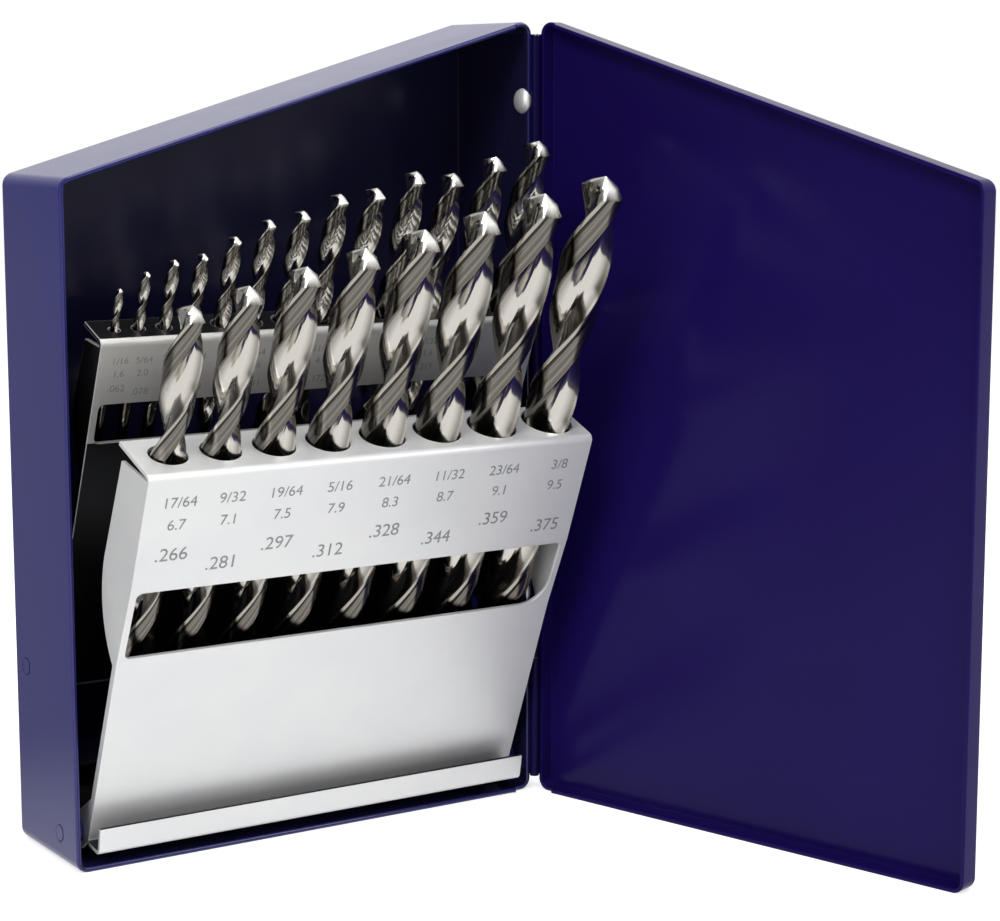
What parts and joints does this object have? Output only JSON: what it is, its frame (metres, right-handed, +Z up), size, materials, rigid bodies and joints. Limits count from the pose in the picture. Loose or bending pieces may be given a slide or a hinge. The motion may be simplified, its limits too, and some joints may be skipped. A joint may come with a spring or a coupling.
{
  "type": "drill bit index case",
  "caption": "Folding steel drill index: hinged slope-topped case with two tilting racks that hold twist drills upright by size.",
  "frame": {"origin": "centre of the case's flat base", "axes": "+Z up, the open front faces -Y, the hinge is on the +X side"},
  "size_m": [0.134, 0.1266, 0.1575],
  "materials": {
    "case_body": "semi-gloss paint",
    "case_lid": "semi-gloss paint",
    "case_hinge_leaf": "semi-gloss paint",
    "lid_hinge_leaf": "semi-gloss paint",
    "hinge_pin": "bright wire",
    "front_rack": "bright zinc plate",
    "front_rest": "bright zinc plate",
    "rear_rack": "bright zinc plate",
    "rear_rest": "bright zinc plate",
    "pivot_rivets": "semi-gloss paint",
    "bit_steel": "bright ground"
  },
  "bodies": {
    "case": {"case_body": "case_body", "case_hinge_leaf": "case_hinge_leaf", "hinge_pin": "hinge_pin", "pivot_rivets": "pivot_rivets"},
    "lid": {"case_lid": "case_lid", "lid_hinge_leaf": "lid_hinge_leaf"},
    "front_rack_body": {"front_rack": "front_rack", "front_rest": "front_rest"},
    "rear_rack_body": {"rear_rack": "rear_rack", "rear_rest": "rear_rest"},
    "bit_04": {"drill_04": "bit_steel"},
    "bit_05": {"drill_05": "bit_steel"},
    "bit_06": {"drill_06": "bit_steel"},
    "bit_07": {"drill_07": "bit_steel"},
    "bit_08": {"drill_08": "bit_steel"},
    "bit_09": {"drill_09": "bit_steel"},
    "bit_10": {"drill_10": "bit_steel"},
    "bit_11": {"drill_11": "bit_steel"},
    "bit_12": {"drill_12": "bit_steel"},
    "bit_13": {"drill_13": "bit_steel"},
    "bit_14": {"drill_14": "bit_steel"},
    "bit_15": {"drill_15": "bit_steel"},
    "bit_16": {"drill_16": "bit_steel"},
    "bit_17": {"drill_17": "bit_steel"},
    "bit_18": {"drill_18": "bit_steel"},
    "bit_19": {"drill_19": "bit_steel"},
    "bit_20": {"drill_20": "bit_steel"},
    "bit_21": {"drill_21": "bit_steel"},
    "bit_22": {"drill_22": "bit_steel"},
    "bit_23": {"drill_23": "bit_steel"},
    "bit_24": {"drill_24": "bit_steel"}
  },
  "joints": [
    {"name": "lid_hinge", "type": "hinge", "parent": "case", "child": "lid", "pos_m": [0.0512, -0.01415, 0], "axis": [0, 0, 1], "range_deg": [-105.4, 0]},
    {"name": "front_rack_tilt", "type": "hinge", "parent": "case", "child": "front_rack_body", "pos_m": [0, -0.006, 0.006], "axis": [1, 0, 0], "range_deg": [-23.5, 0]},
    {"name": "rear_rack_tilt", "type": "hinge", "parent": "case", "child": "rear_rack_body", "pos_m": [0, 0.008, 0.0353], "axis": [1, 0, 0], "range_deg": [-21.9, 0]},
    {"name": "lift_04", "type": "slide", "parent": "rear_rack_body", "child": "bit_04", "axis": [0, -0.3827, 0.9239], "range_m": [0, 0.0398]},
    {"name": "lift_05", "type": "slide", "parent": "rear_rack_body", "child": "bit_05", "axis": [0, -0.3827, 0.9239], "range_m": [0, 0.0398]},
    {"name": "lift_06", "type": "slide", "parent": "rear_rack_body", "child": "bit_06", "axis": [0, -0.3827, 0.9239], "range_m": [0, 0.044]},
    {"name": "lift_07", "type": "slide", "parent": "rear_rack_body", "child": "bit_07", "axis": [0, -0.3827, 0.9239], "range_m": [0, 0.0525]},
    {"name": "lift_08", "type": "slide", "parent": "rear_rack_body", "child": "bit_08", "axis": [0, -0.3827, 0.9239], "range_m": [0, 0.0525]},
    {"name": "lift_09", "type": "slide", "parent": "rear_rack_body", "child": "bit_09", "axis": [0, -0.3827, 0.9239], "range_m": [0, 0.0525]},
    {"name": "lift_10", "type": "slide", "parent": "rear_rack_body", "child": "bit_10", "axis": [0, -0.3827, 0.9239], "range_m": [0, 0.0573]},
    {"name": "lift_11", "type": "slide", "parent": "rear_rack_body", "child": "bit_11", "axis": [0, -0.3827, 0.9239], "range_m": [0, 0.0573]},
    {"name": "lift_12", "type": "slide", "parent": "rear_rack_body", "child": "bit_12", "axis": [0, -0.3827, 0.9239], "range_m": [0, 0.0626]},
    {"name": "lift_13", "type": "slide", "parent": "rear_rack_body", "child": "bit_13", "axis": [0, -0.3827, 0.9239], "range_m": [0, 0.0626]},
    {"name": "lift_14", "type": "slide", "parent": "rear_rack_body", "child": "bit_14", "axis": [0, -0.3827, 0.9239], "range_m": [0, 0.0663]},
    {"name": "lift_15", "type": "slide", "parent": "rear_rack_body", "child": "bit_15", "axis": [0, -0.3827, 0.9239], "range_m": [0, 0.0663]},
    {"name": "lift_16", "type": "slide", "parent": "rear_rack_body", "child": "bit_16", "axis": [0, -0.3827, 0.9239], "range_m": [0, 0.0663]},
    {"name": "lift_17", "type": "slide", "parent": "front_rack_body", "child": "bit_17", "axis": [0, -0.3746, 0.9272], "range_m": [0, 0.0758]},
    {"name": "lift_18", "type": "slide", "parent": "front_rack_body", "child": "bit_18", "axis": [0, -0.3746, 0.9272], "range_m": [0, 0.0758]},
    {"name": "lift_19", "type": "slide", "parent": "front_rack_body", "child": "bit_19", "axis": [0, -0.3746, 0.9272], "range_m": [0, 0.0758]},
    {"name": "lift_20", "type": "slide", "parent": "front_rack_body", "child": "bit_20", "axis": [0, -0.3746, 0.9272], "range_m": [0, 0.0758]},
    {"name": "lift_21", "type": "slide", "parent": "front_rack_body", "child": "bit_21", "axis": [0, -0.3746, 0.9272], "range_m": [0, 0.0758]},
    {"name": "lift_22", "type": "slide", "parent": "front_rack_body", "child": "bit_22", "axis": [0, -0.3746, 0.9272], "range_m": [0, 0.0758]},
    {"name": "lift_23", "type": "slide", "parent": "front_rack_body", "child": "bit_23", "axis": [0, -0.3746, 0.9272], "range_m": [0, 0.0758]},
    {"name": "lift_24", "type": "slide", "parent": "front_rack_body", "child": "bit_24", "axis": [0, -0.3746, 0.9272], "range_m": [0, 0.0758]}
  ],
  "couplings": [
    {"joint": "front_rack_tilt", "follows": "lid_hinge", "ratio": 0.2229},
    {"joint": "rear_rack_tilt", "follows": "lid_hinge", "ratio": 0.2077}
  ]
}
